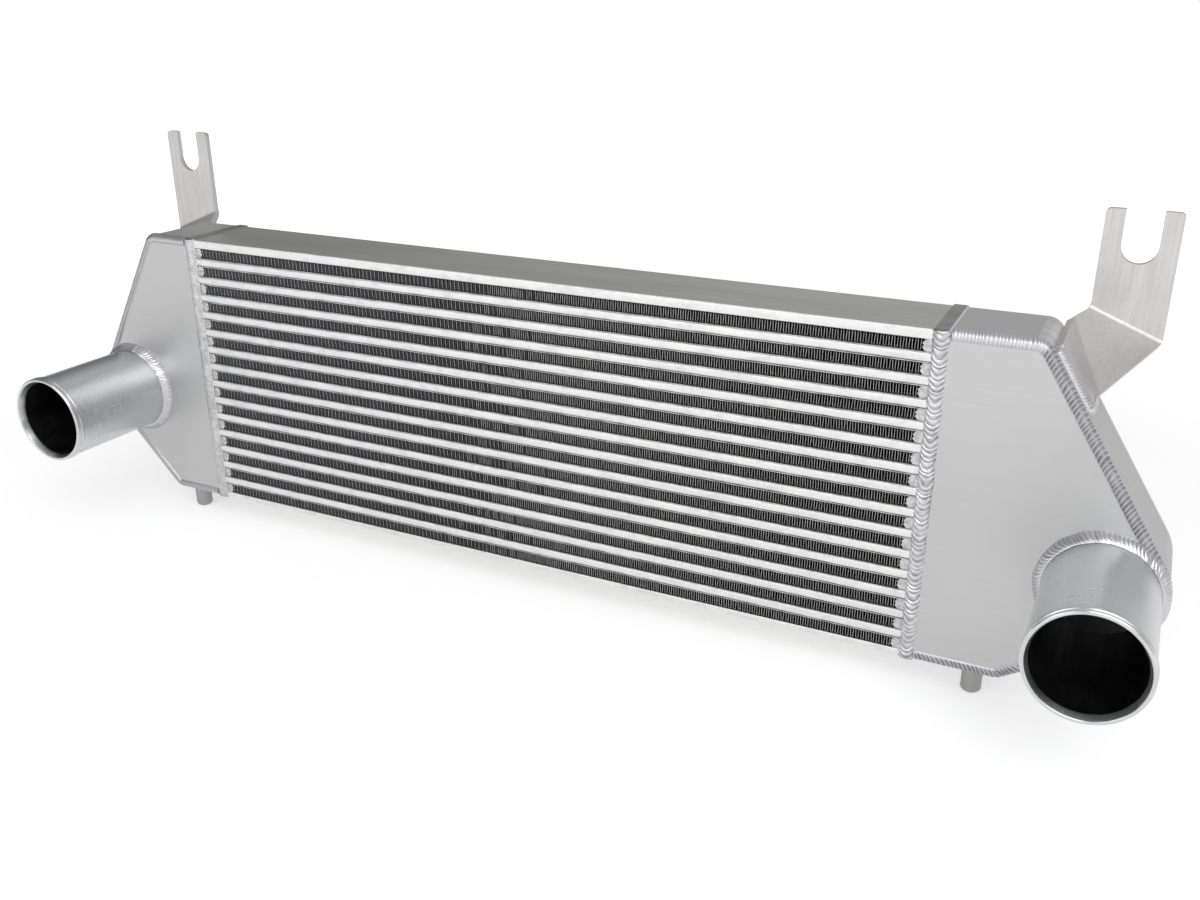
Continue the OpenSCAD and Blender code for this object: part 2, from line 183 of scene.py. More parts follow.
@dataclass(frozen=True)
class Finish:
    """A bare aluminium surface: its colour, its roughness and the layers that vary them.

    A weld also has the colour of its valleys, heat tint with painted shade, and its own colour is
    that of the crests, with painted highlights on them. A turned surface names the axis it was
    turned about, and its highlights are drawn out by the stretch, across the tool's marks.
    """

    name: str
    colour: Triple
    roughness: float
    layers: tuple[Layer, ...]
    valley: Triple | None = None
    turned: str = ""
    stretch: float = 0.85
    across: float = 0.25

    def material(self) -> bpy.types.Material:
        """Builds the node material, or returns the one that is already there.

        Returns:
            The material, made of one Principled shader and the patterns of the layers.
        """
        found = bpy.data.materials.get(self.name)
        if found:
            return found
        made = bpy.data.materials.new(self.name)
        made.use_nodes = True
        made.diffuse_color = (*self.colour, 1)
        graph = Graph(made.node_tree)
        inputs = graph.tree.nodes["Principled BSDF"].inputs
        plain = {"Metallic": 1.0, "Roughness": self.roughness, "Base Color": (*self.colour, 1)}
        if self.turned:
            plain |= {"Anisotropic": self.stretch, "Anisotropic Rotation": self.across}
            tangent = graph.add("ShaderNodeTangent")
            tangent.direction_type = "RADIAL"
            tangent.axis = self.turned
            graph.feed(inputs["Tangent"], tangent.outputs[0])
        for name, value in plain.items():
            graph.feed(inputs[name], value)
        place = graph.add("ShaderNodeTexCoord").outputs["Object"]
        colour: Value = (*self.colour, 1)
        gloss: Value = self.roughness
        normal: Socket | None = None
        # The ripple attribute mixes in the valley colour, painted shade over heat tint between the
        # ripples, and the crest colour with its painted highlight on them.
        if self.valley:
            ripple = graph.add("ShaderNodeAttribute")
            ripple.attribute_name = "ripple"
            colour = graph.mix((*self.valley, 1), self.colour, ripple.outputs["Fac"], 1.0)
        for layer in self.layers:
            value = self._pattern(graph, place, layer)
            if layer.share:
                colour = graph.mix(colour, layer.tint, value, layer.share)
            if layer.gloss:
                gloss = graph.math("MULTIPLY_ADD", value, layer.gloss, gloss)
            if layer.height:
                bump = graph.add("ShaderNodeBump")
                graph.feed(bump.inputs["Distance"], layer.height)
                graph.feed(bump.inputs["Height"], value)
                if normal:
                    graph.feed(bump.inputs["Normal"], normal)
                normal = bump.outputs[0]
        for name, made_value in (("Base Color", colour), ("Roughness", gloss), ("Normal", normal)):
            if made_value is not None:
                graph.feed(inputs[name], made_value)
        return made

    @staticmethod
    def _pattern(graph: Graph, place: Socket, layer: Layer) -> Socket:
        """Draws a layer's pattern on Object coordinates.

        Args:
            graph: The node tree that gets the nodes.
            place: The Object coordinates.
            layer: The layer to draw.

        Returns:
            The socket of the pattern's value, from 0 to 1.
        """
        mapping = graph.add("ShaderNodeMapping")
        graph.feed(mapping.inputs["Scale"], layer.scale)
        graph.feed(mapping.inputs["Vector"], place)
        texture = graph.add(layer.pattern.value)
        graph.feed(texture.inputs[0], mapping.outputs[0])
        if layer.pattern is Pattern.DEPTH:
            value = graph.math("ABSOLUTE", graph.math("SUBTRACT", texture.outputs["Y"], MIDDLE))
        else:
            settings = {"Scale": 1.0, "Detail": layer.detail, "Distortion": layer.warp}
            for name, amount in settings.items():
                graph.feed(texture.inputs[name], amount)
            value = texture.outputs["Fac"]
        return graph.span(value, layer.low, layer.high)


def even(value: float) -> Triple:
    """The same value three times, as a scale or a grey."""
    return (value, value, value)


TANK_FINISH = Finish("satin_rolled_sheet", (0.60, 0.60, 0.605), 0.45, (
    Layer(even(9), 0.3, 0.7, even(0.64), 0.8, 0.06),
    Layer((14, 24, 700), 0.35, 0.7, (0.57, 0.57, 0.58), 0.15, 0.02, 1e-6, 2),
    Layer(even(1400), 0.62, 0.8, (0.46, 0.46, 0.47), 0.2, 0.1, 0, 2),
    Layer(even(16), 0.35, 0.65, height=2e-4, detail=1),
))
PLATE_FINISH = Finish("dull_rolled_plate", (0.54, 0.55, 0.53), 0.33, (
    Layer((5, 26, 26), 0.35, 0.7, (0.70, 0.71, 0.69), 0.7, 0.05),
    Layer((6, 420, 420), 0.4, 0.7, (0.46, 0.465, 0.455), 0.25, 0.05, 4e-6, 3),
    Layer(even(900), 0.6, 0.8, even(0.4), 0.35, 0.1, 0, 2),
))
BAR_FINISH = Finish("bright_brazed_bar", even(0.85), 0.46, (
    Layer((40, 110, 110), 0.35, 0.62, (0.92, 0.92, 0.91), 0.8, 0.08, 0, 4),
    Layer((110, 260, 260), 0.5, 0.75, (0.70, 0.70, 0.73), 0.6, 0.08, 3e-5, 5, 0.4),
    Layer((700, 900, 900), 0.64, 0.8, (0.34, 0.34, 0.35), 0.4, 0.1, -3e-5, 2),
    Layer((420, 600, 600), 0.3, 0.7, height=9e-5, detail=4),
))
NOSE_FINISH = Finish("bar_nose", even(0.70), 0.46, (
    Layer(even(300), 0.4, 0.65, (0.38, 0.38, 0.39), 0.7, 0.08, 4e-5, 4),
    Layer(even(900), 0.55, 0.75, (0.75, 0.75, 0.74), 0.5, 0.1, 0, 2),
))
SHEET_EDGE_FINISH = Finish("separator_edge", even(0.66), 0.46, (
    Layer((90, 300, 300), 0.42, 0.62, (0.34, 0.34, 0.35), 0.8, 0.08, 0, 4),
    Layer(even(700), 0.35, 0.7, height=5e-5),
))
# The fin foil's near-black colour is painted shade from deep inside the core; the depth layer
# paints it a little lighter towards the front and back faces.
FIN_PAINTED_SHADE_FINISH = Finish("folded_fin_foil", (0.030, 0.030, 0.032), 0.5, (
    Layer(even(70), 0.35, 0.65, (0.045, 0.045, 0.048), 0.7, 0.08),
    Layer(even(1), 0.0290, 0.0312, (0.09, 0.09, 0.095), 1.0, pattern=Pattern.DEPTH),
))
FIN_EDGE_FINISH = Finish("cut_fin_edge", even(0.74), 0.42, (
    Layer(even(120), 0.4, 0.65, (0.40, 0.40, 0.41), 0.7, 0.1),
    Layer(even(700), 0.45, 0.75, even(0.62), 0.4, 0, 2e-5, 3),
))
FIN_SHADE_FINISH = Finish("shaded_fin_edge", (0.16, 0.16, 0.165), 0.45, (
    Layer(even(120), 0.4, 0.65, (0.09, 0.09, 0.092), 0.7, 0.1),
))
BRUSHED_FINISH = Finish("brushed_bend", even(0.82), 0.36, (
    Layer((24, 900, 24), 0.35, 0.65, even(0.50), 0.7, 0.06, 1e-5, 3),
    Layer(even(60), 0.35, 0.65, even(0.80), 0.4, 0.05),
))
PIPE_FINISH = Finish("turned_pipe", (0.70, 0.71, 0.72), 0.24, (
    Layer((3, 700, 3), 0.35, 0.65, (0.64, 0.65, 0.66), 0.12, 0.015),
    Layer(even(26), 0.35, 0.7, (0.77, 0.775, 0.78), 0.6, 0.05),
    Layer(even(1300), 0.64, 0.8, (0.4, 0.4, 0.42), 0.4, 0.1, 0, 2),
), turned="Y")
# The bore's near-black colour is painted shade inside the pipe.
BORE_PAINTED_SHADE_FINISH = Finish("dull_bore", even(0.13), 0.3, (
    Layer((200, 6, 200), 0.35, 0.65, even(0.06), 0.6, 0.08, 6e-6, 3),
    Layer(even(60), 0.4, 0.7, even(0.15), 0.5, 0.06),
))
PEG_FINISH = Finish("turned_peg", (0.42, 0.42, 0.415), 0.28, (
    Layer((3, 3, 1100), 0.35, 0.65, even(0.33), 0.3, 0.03),
    Layer(even(90), 0.35, 0.7, (0.44, 0.44, 0.43), 0.5, 0.05),
), turned="Z")
BRACKET_FINISH = Finish("mill_finish_bracket", (0.66, 0.645, 0.64), 0.43, (
    Layer(even(24), 0.3, 0.7, (0.75, 0.74, 0.73), 0.8, 0.07),
    Layer((600, 600, 22), 0.35, 0.7, (0.50, 0.49, 0.485), 0.35, 0.06, 5e-6, 2),
    Layer((90, 90, 30), 0.5, 0.8, (0.58, 0.56, 0.56), 0.4, 0.05, 0, 3, 0.6),
    Layer(even(1200), 0.62, 0.8, even(0.4), 0.3, 0.1, 0, 2),
))


def bead(name: str, valley: Triple, crest: Triple, roughness: float) -> Finish:
    """A weld bead's finish: heat tint with painted shade between its ripples and a painted
    highlight on them.
    """
    return Finish(name, crest, roughness, (
        Layer(even(70), 0.4, 0.7, crest, 0.3, 0.08),
        Layer(even(800), 0.4, 0.7, (0.5, 0.5, 0.54), 0.2, 0.05, 2e-5, 3),
    ), valley)


# Each weld's valley colour is heat tint with painted shade, and its crest colour carries a painted
# highlight.
BEAD_FINISH = bead("bright_weld_bead", (0.16, 0.155, 0.19), (0.88, 0.88, 0.90), 0.3)
PALE_FINISH = bead("pale_weld_bead", (0.46, 0.46, 0.48), (0.90, 0.90, 0.91), 0.4)
ROPE_FINISH = bead("fine_weld_bead", (0.22, 0.22, 0.225), (0.84, 0.84, 0.85), 0.36)
SOFT_FINISH = bead("smooth_weld_bead", (0.36, 0.36, 0.37), (0.68, 0.68, 0.69), 0.36)
SEAM_FINISH = bead("tinted_weld_bead", (0.13, 0.125, 0.15), (0.84, 0.84, 0.87), 0.42)
# The ground band's dark colour is a painted dark sheen on its up-facing faces; its streaks are its
# own.
GROUND_PAINTED_SHEEN_FINISH = Finish("ground_weld", (0.34, 0.335, 0.33), 0.3, (
    Layer((900, 26, 900), 0.35, 0.7, (0.46, 0.455, 0.45), 0.45, 0.06, 6e-6, 3),
    Layer(even(60), 0.35, 0.65, even(0.25), 0.5, 0.05),
))

Place = Callable[[Vector], Vector]


def from_front(point: Vector) -> Vector:
    """Millimetres from the front of the core to metres in the shared frame."""
    return Vector((point.x, point.y - FRONT, point.z)) * MM


def heading(angle: float) -> Vector:
    """The direction at an angle from X towards Z, in radians."""
    return Vector((math.cos(angle), 0, math.sin(angle)))


def unit(value: float) -> float:
    """The value, kept from 0 to 1."""
    return min(1.0, max(0.0, value))


def to_mesh(name: str, bm: bmesh.types.BMesh) -> bpy.types.Mesh:
    """Turns a bmesh, which is freed, into a mesh."""
    mesh = bpy.data.meshes.new(name)
    bm.to_mesh(mesh)
    bm.free()
    return mesh


def add_object(name: str, data: bpy.types.ID) -> bpy.types.Object:
    """Puts data into the scene as an object at the origin."""
    made = bpy.data.objects.new(name, data)
    bpy.context.scene.collection.objects.link(made)
    return made


def make_piece(
    name: str,
    bm: bmesh.types.BMesh,
    finish: Finish,
    slot: Slot,
    nodes: Iterable[str] = (),
    place: Place = from_front,
    sharp: float = 35.0,
    closed: bool = True,
) -> bpy.types.Object:
    """Turns a mesh in millimetres into a finished piece that rides on the part.

    Args:
        name: The piece's name.
        bm: The mesh, which is freed.
        finish: The finish that covers it.
        slot: The record's slot that the finish belongs to; not used.
        nodes: The nodes that the piece replaces.
        place: Takes a point of the mesh into the shared frame.
        sharp: Edges sharper than this angle, in degrees, stay sharp.
        closed: Whether the mesh is a closed shell, whose faces are turned outwards.

    Returns:
        The new object.
    """
    bmesh.ops.remove_doubles(bm, verts=bm.verts, dist=MERGE)
    for vert in bm.verts:
        vert.co = place(vert.co)
    if closed:
        bmesh.ops.recalc_face_normals(bm, faces=bm.faces)
    mesh = to_mesh(name, bm)
    mesh.shade_smooth()
    mesh.set_sharp_from_angle(angle=math.radians(sharp))
    mesh.materials.append(finish.material())
    piece = add_object(name, mesh)
    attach(piece, BODY)
    names = list(nodes)
    if names:
        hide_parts(*names)
    LOG.info("%s: %d faces, for %s", name, len(mesh.polygons), ", ".join(names) or "itself")
    return piece


def dress_faces(
    piece: bpy.types.Object, finish: Finish, chosen: Callable[[bpy.types.MeshPolygon], bool]
) -> None:
    """Gives some faces of a piece a second finish.

    Args:
        piece: The piece.
        finish: The finish for those faces.
        chosen: Tells whether a face gets it.
    """
    piece.data.materials.append(finish.material())
    number = len(piece.data.materials) - 1
    for face in piece.data.polygons:
        if chosen(face):
            face.material_index = number


def dress_node(name: str, finish: Finish) -> None:
    """Gives a node that stays its finish."""
    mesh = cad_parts[name].data
    mesh.materials.clear()
    mesh.materials.append(finish.material())
    LOG.info("%s: keeps its solid's shape", name)


def block(
    bm: bmesh.types.BMesh, low: Sequence[float], high: Sequence[float]
) -> list[bmesh.types.BMVert]:
    """Adds a box between two corners.

    Args:
        bm: The mesh that gets it.
        low: The lowest corner.
        high: The highest corner.

    Returns:
        Its vertices.
    """
    size = [b - a for a, b in zip(low, high)]
    middle = [(a + b) / 2 for a, b in zip(low, high)]
    matrix = Matrix.Translation(middle) @ Matrix.Diagonal((*size, 1))
    return bmesh.ops.create_cube(bm, size=1, matrix=matrix)["verts"]


def round_off(
    bm: bmesh.types.BMesh,
    geom: Iterable[bmesh.types.BMEdge | bmesh.types.BMVert],
    offset: float,
    segments: int,
    affect: str = "EDGES",
    clamp: bool = True,
) -> None:
    """Rounds edges or, with affect VERTICES, corners by a bevel of that offset and segments."""
    bmesh.ops.bevel(
        bm, geom=list(geom), offset=offset, offset_type="OFFSET", segments=segments,
        profile=0.5, affect=affect, material=-1, clamp_overlap=clamp,
    )


def spin_profile(
    profile: Sequence[tuple[float, float]], centre: Vector, axis: Vector, steps: int, ring: bool
) -> bmesh.types.BMesh:
    """Spins a profile once round an axis.

    Args:
        profile: Its points, as distances from the axis and along it.
        centre: The point on the axis from which the latter count.
        axis: The axis' direction, Y or Z.
        steps: The number of faces round the axis.
        ring: Whether the last point joins the first one.

    Returns:
        The mesh.
    """
    bm = bmesh.new()
    line = [bm.verts.new(centre + Vector((far, 0, 0)) + axis * along) for far, along in profile]
    edges = [bm.edges.new(pair) for pair in zip(line, line[1:])]
    if ring:
        edges.append(bm.edges.new((line[-1], line[0])))
    bmesh.ops.spin(
        bm, geom=[*line, *edges], cent=centre, axis=axis, angle=TAU, steps=steps, use_merge=True
    )
    return bm


def edges_of(verts: Iterable[bmesh.types.BMVert]) -> set[bmesh.types.BMEdge]:
    """All the edges that meet these vertices."""
    return {e for v in verts for e in v.link_edges}


def length_along(edge: bmesh.types.BMEdge, axis: int) -> float:
    """How far an edge reaches along one axis."""
    return abs(edge.verts[0].co[axis] - edge.verts[1].co[axis])


@dataclass(frozen=True)
class Station:
    """One place on a weld's path, in millimetres, where its section is drawn."""

    origin: Vector
    across: Vector
    out: Vector
    run: float


Section = Callable[[float, Station], tuple[float, float, float]]


def sweep(
    stations: Sequence[Station], section: Section, columns: int = BEAD_FACES, ring: bool = False
) -> bmesh.types.BMesh:
    """Wraps a grid round a path: a closed section at each station, with its two ends closed.

    Args:
        stations: The places along the path.
        section: Gives, for a share of the way round and a station, the offset across, the
        offset outwards and the ripples' painted shading there.
        columns: The number of points round the section.
        ring: Whether the last station meets the first one.

    Returns:
        The mesh, with a float layer named ripple that holds the ripples' painted shading.
    """
    bm = bmesh.new()
    bmesh.ops.create_grid(bm, x_segments=columns, y_segments=len(stations) - 1, size=0.5)
    layer = bm.verts.layers.float.new("ripple")
    bm.verts.ensure_lookup_table()
    for row, station in enumerate(stations):
        for column in range(columns + 1):
            vert = bm.verts[row * (columns + 1) + column]
            a, b, ripple = section((column % columns) / columns, station)
            vert.co = station.origin + station.across * a + station.out * b
            vert[layer] = ripple
    bmesh.ops.remove_doubles(bm, verts=bm.verts, dist=MERGE)
    if not ring:
        rims = [e for e in bm.edges if e.is_boundary]
        bmesh.ops.holes_fill(bm, edges=rims, sides=0)
    return bm


@dataclass
class Core:
    """The bar and plate core: its plates, tube bars, end bars and folded fins.

    Sizes are in millimetres. The tube bars' outer faces wander by bar_wave_z and bar_wave_y,
    and the fins by fin_kink and fin_lean. A fin's cut edge is in shade past bend_share of its
    height from its middle, and left of shaded_x, give or take some noise, on every second wall.
    """

    rows: int = 14
    width: float = 614.0
    depth: float = 64.0
    fin_h: float = 8.0
    tube_h: float = 6.2
    sheet_t: float = 0.5
    top_t: float = 7.0
    bottom_t: float = 4.5
    bar_d: float = 8.0
    end_bar_w: float = 12.5
    nose_l: float = 3.0
    waves: int = 163
    fin_inset: float = 0.9
    foil_t: float = 0.3
    plate_r: float = 0.9
    bar_r: float = 1.3
    bar_cuts: int = 121
    nose_r: float = 0.3
    nose_inset: float = 0.4
    shaded_x: float = -10.0
    shaded_noise: float = 90.0
    bar_wave_z: float = 0.13
    bar_wave_y: float = 0.28
    bar_wave_reach: float = 3.0
    fin_kink: float = 0.30
    fin_lean: float = 0.25
    bend_share: float = 0.42
    wall_shares: tuple[float, float] = (0.6, 0.95)

    @property
    def row_step(self) -> float:
        """Distance from one cooling row to the next."""
        return self.fin_h + self.tube_h + 2 * self.sheet_t

    @property
    def height(self) -> float:
        """Height of the whole core."""
        return self.bottom_t + self.rows * self.row_step + self.fin_h + self.top_t

    def fin_z(self, row: int) -> float:
        """Height at which a cooling row starts."""
        return self.bottom_t + row * self.row_step

    def tube_z(self, row: int) -> float:
        """Height at which the inside of a tube starts."""
        return self.fin_z(row) + self.fin_h + self.sheet_t

    def build(self) -> None:
        """Builds and dresses every piece of the core."""
        self._plate("top_plate", self.height - self.top_t, self.height, "core_top_plate")
        self._plate("bottom_plate", 0, self.bottom_t, "core_bottom_plate")
        self._tube_bars("bars_front", 0, "front_tube_bars")
        self._tube_bars("bars_rear", self.depth, "rear_tube_bars")
        for side in Side:
            self._end_bars(side)
        self._fins()
        dress_node("separator_sheets", SHEET_EDGE_FINISH)
        # The hidden turbulators get the same near-black painted shade as the fin foil.
        dress_node("tube_turbulators", FIN_PAINTED_SHADE_FINISH)

    def _plate(self, name: str, z0: float, z1: float, node: str) -> None:
        """Builds one closing plate, with its edges lightly rounded."""
        bm = bmesh.new()
        half = self.width / 2
        block(bm, (-half, 0, z0), (half, self.depth, z1))
        round_off(bm, (e for e in bm.edges if length_along(e, 0) > 1), self.plate_r, 4)
        piece = make_piece(name, bm, PLATE_FINISH, Slot.PLATE, [node])
        dress_faces(piece, BAR_FINISH, lambda face: abs(face.normal.y) > 0.5)

    def _tube_bars(self, name: str, face: float, node: str) -> None:
        """Builds the bars on one face, rounded in front and uneven along their length.

        Args:
            name: The piece's name.
            face: How far the outer face lies behind the front.
            node: The node that the bars replace.
        """
        half, into = self.width / 2, 1 if face == 0 else -1
        low, high = sorted((face, face + into * self.bar_d))
        whole = bmesh.new()
        for row in range(self.rows):
            z = self.tube_z(row)
            bm = bmesh.new()
            block(bm, (-half, low, z), (half, high, z + self.tube_h))
            rims = [
                e
                for e in bm.edges
                if length_along(e, 0) > 1 and all(abs(v.co.y - face) < 0.1 for v in e.verts)
            ]
            round_off(bm, rims, self.bar_r, 4)
            long_edges = [e for e in bm.edges if length_along(e, 0) > 1]
            bmesh.ops.subdivide_edges(bm, edges=long_edges, cuts=self.bar_cuts, use_grid_fill=True)
            for vert in bm.verts:
                if abs(vert.co.x) > half - 1 or abs(vert.co.y - face) > self.bar_wave_reach:
                    continue
                spot = Vector((vert.co.x * 0.045, vert.co.z * 0.3, row * 7.3))
                vert.co.z += self.bar_wave_z * noise.noise(spot)
                vert.co.y += into * self.bar_wave_y * (0.5 + noise.noise(spot * 1.7))
            part = to_mesh("bar", bm)
            whole.from_mesh(part)
            bpy.data.meshes.remove(part)
        make_piece(name, whole, BAR_FINISH, Slot.BAR, [node])

    def _end_bars(self, side: Side) -> None:
        """Builds the bars that close the cooling rows at one end, with their pointed noses."""
        bm = bmesh.new()
        tip = self.end_bar_w
        for row in range(self.rows + 1):
            z = self.fin_z(row)
            outline = [
                (0.0, z),
                (0.0, z + self.fin_h),
                (self.nose_l - tip, z + self.fin_h),
                (1.0 - tip, z + 0.66 * self.fin_h),
                (1.9 - tip, z + 0.5 * self.fin_h),
                (1.0 - tip, z + 0.34 * self.fin_h),
                (self.nose_l - tip, z),
            ]
            face = bm.faces.new([bm.verts.new((x, self.nose_inset, h)) for x, h in outline])
            made = bmesh.ops.extrude_face_region(bm, geom=[face])["geom"]
            verts = [g for g in made if isinstance(g, bmesh.types.BMVert)]
            bmesh.ops.translate(bm, vec=(0, self.depth - 2 * self.nose_inset, 0), verts=verts)
            rims = [e for e in edges_of(verts) | set(face.edges) if length_along(e, 1) < 0.1]
            round_off(bm, rims, self.nose_r, 1)

        def place(point: Vector) -> Vector:
            """A point measured outwards from this end of the core, in the frame."""
            return from_front(Vector((side.value * (self.width / 2 + point.x), point.y, point.z)))

        name = f"end_bars_{side.word}"
        make_piece(name, bm, NOSE_FINISH, Slot.BAR, [f"{side.word}_end_bars"], place)

    def _fins(self) -> None:
        """Builds the folded fins of every cooling row at their real pitch."""
        span = self.width - 2 * self.end_bar_w + 2.0
        pitch = span / self.waves
        high = self.fin_h - self.foil_t / 2
        low = self.foil_t / 2
        wave = [
            (0.00, high), (0.23, high), (0.31, 0.90 * high), (0.35, 0.10 * high + low),
            (0.43, low), (0.73, low), (0.81, 0.10 * high + low), (0.85, 0.90 * high),
            (0.93, high), (1.00, high),
        ]
        bm = bmesh.new()
        line = [bm.verts.new((x * pitch - span / 2, 0, z)) for x, z in wave]
        edges = [bm.edges.new(pair) for pair in zip(line, line[1:])]
        bmesh.ops.spin(
            bm, geom=[*line, *edges], cent=(0, 0, 0), axis=(0, 0, 1), dvec=(pitch, 0, 0),
            angle=0, steps=self.waves - 1, use_duplicate=True,
        )
        bmesh.ops.remove_doubles(bm, verts=bm.verts, dist=1e-3)
        front = self.fin_inset
        bmesh.ops.translate(bm, vec=(0, front, 0), verts=bm.verts)
        made = bmesh.ops.extrude_edge_only(bm, edges=bm.edges)["geom"]
        back = [g for g in made if isinstance(g, bmesh.types.BMVert)]
        bmesh.ops.translate(bm, vec=(0, self.depth - 2 * front, 0), verts=back)
        strip = to_mesh("strip", bm)
        whole = bmesh.new()
        for row in range(self.rows + 1):
            start = len(whole.verts)
            whole.from_mesh(strip)
            whole.verts.ensure_lookup_table()
            lean = self.fin_lean * math.sin(row * 2.4)
            for vert in whole.verts[start:]:
                share = vert.co.z / self.fin_h - 0.5
                spot = Vector((vert.co.x * 0.35, row * 5.1, share))
                kink = noise.noise(spot) * 1.1 + noise.noise(spot * 4.3) * 0.7
                vert.co.x += (self.fin_kink * kink + lean * share) * (1 - 0.8 * abs(share))
                vert.co.z += self.fin_z(row)
        bpy.data.meshes.remove(strip)
        limit = self.width / 2 - self.end_bar_w + self.nose_l
        for vert in whole.verts:
            vert.co.x = max(-limit, min(limit, vert.co.x))
        # The foil's sides are near black with painted shade from deep inside the core.
        piece = make_piece("fins", whole, FIN_PAINTED_SHADE_FINISH, Slot.FIN, ["cooling_fins"], closed=False)
        foil = piece.modifiers.new("foil", "SOLIDIFY")
        foil.thickness = self.foil_t * MM
        foil.offset = 0.0
        foil.material_offset_rim = 1
        for finish in (FIN_EDGE_FINISH, FIN_PAINTED_SHADE_FINISH, FIN_SHADE_FINISH):
            piece.data.materials.append(finish.material())
        for face in piece.data.polygons:
            x = face.center.x / MM + self.shaded_noise * noise.noise(face.center / MM * 0.8)
            share = ((face.center.x / MM + span / 2) / pitch) % 1
            off_middle = abs((face.center.z / MM - self.fin_z(0)) % self.row_step - self.fin_h / 2)
            every_second_wall = self.wall_shares[0] < share < self.wall_shares[1]
            shaded = every_second_wall and x < self.shaded_x
            if off_middle > self.bend_share * self.fin_h or shaded:
                face.material_index = 2


@dataclass(frozen=True)
class Round:
    """A corner circle of a tank's outline, in millimetres from the end of the core."""

    x: float
    z: float
    radius: float

    def rim(self, angle: float, inset: float = 0.0) -> Vector:
        """The point of the circle at an angle, in radians, moved inwards."""
        reach = self.radius - inset
        return Vector((self.x + reach * math.cos(angle), 0, self.z + reach * math.sin(angle)))

    def touch(self, other: "Round") -> float:
        """The outward angle of the line that touches this circle and the next, clockwise."""
        dx, dz = other.x - self.x, other.z - self.z
        return math.atan2(dz, dx) + math.acos((self.radius - other.radius) / math.hypot(dx, dz))


@dataclass(frozen=True)
class Ripples:
    """How a weld's ripples look: their pitch, height, bend, slant and unevenness."""

    pitch: float
    height: float
    bend: float
    slant: float
    uneven: float
    seed: int

    def at(self, run: float, side: float) -> tuple[float, float]:
        """Height of the ripples at a place of a bead, and their painted shading.

        Args:
            run: Distance along the bead.
            side: Place across the bead, from -1 to 1.

        Returns:
            The height that the ripple adds there, and its painted shading from 0, painted shade, to
            1, painted highlight.
        """
        drift = self.uneven * noise.noise(Vector((run * 0.13, self.seed * 3.7, 0)))
        phase = run / self.pitch + self.bend * side * side + self.slant * side + drift * 2
        number = math.floor(phase)
        share = phase - number
        luck = noise.cell(Vector((number + 0.5, self.seed + 0.5, 0.5)))
        wave = (1 - (1 - share) ** 3) * (1 - share**5)
        size = self.height * (1 + self.uneven * 2 * (luck - 0.5))
        # The second value is painted shading: dark in the valley, a painted highlight just before
        # the crest's drop.
        return size * (wave - 0.5), 1.2 * share**1.5 * (1 - share**8)


def fillet_fade(u: float) -> float:
    """How much of a fillet's ripples shows at a share of its face, less at both toes."""
    return min(1.0, 3.2 * min(u, 1 - u) + 0.1)


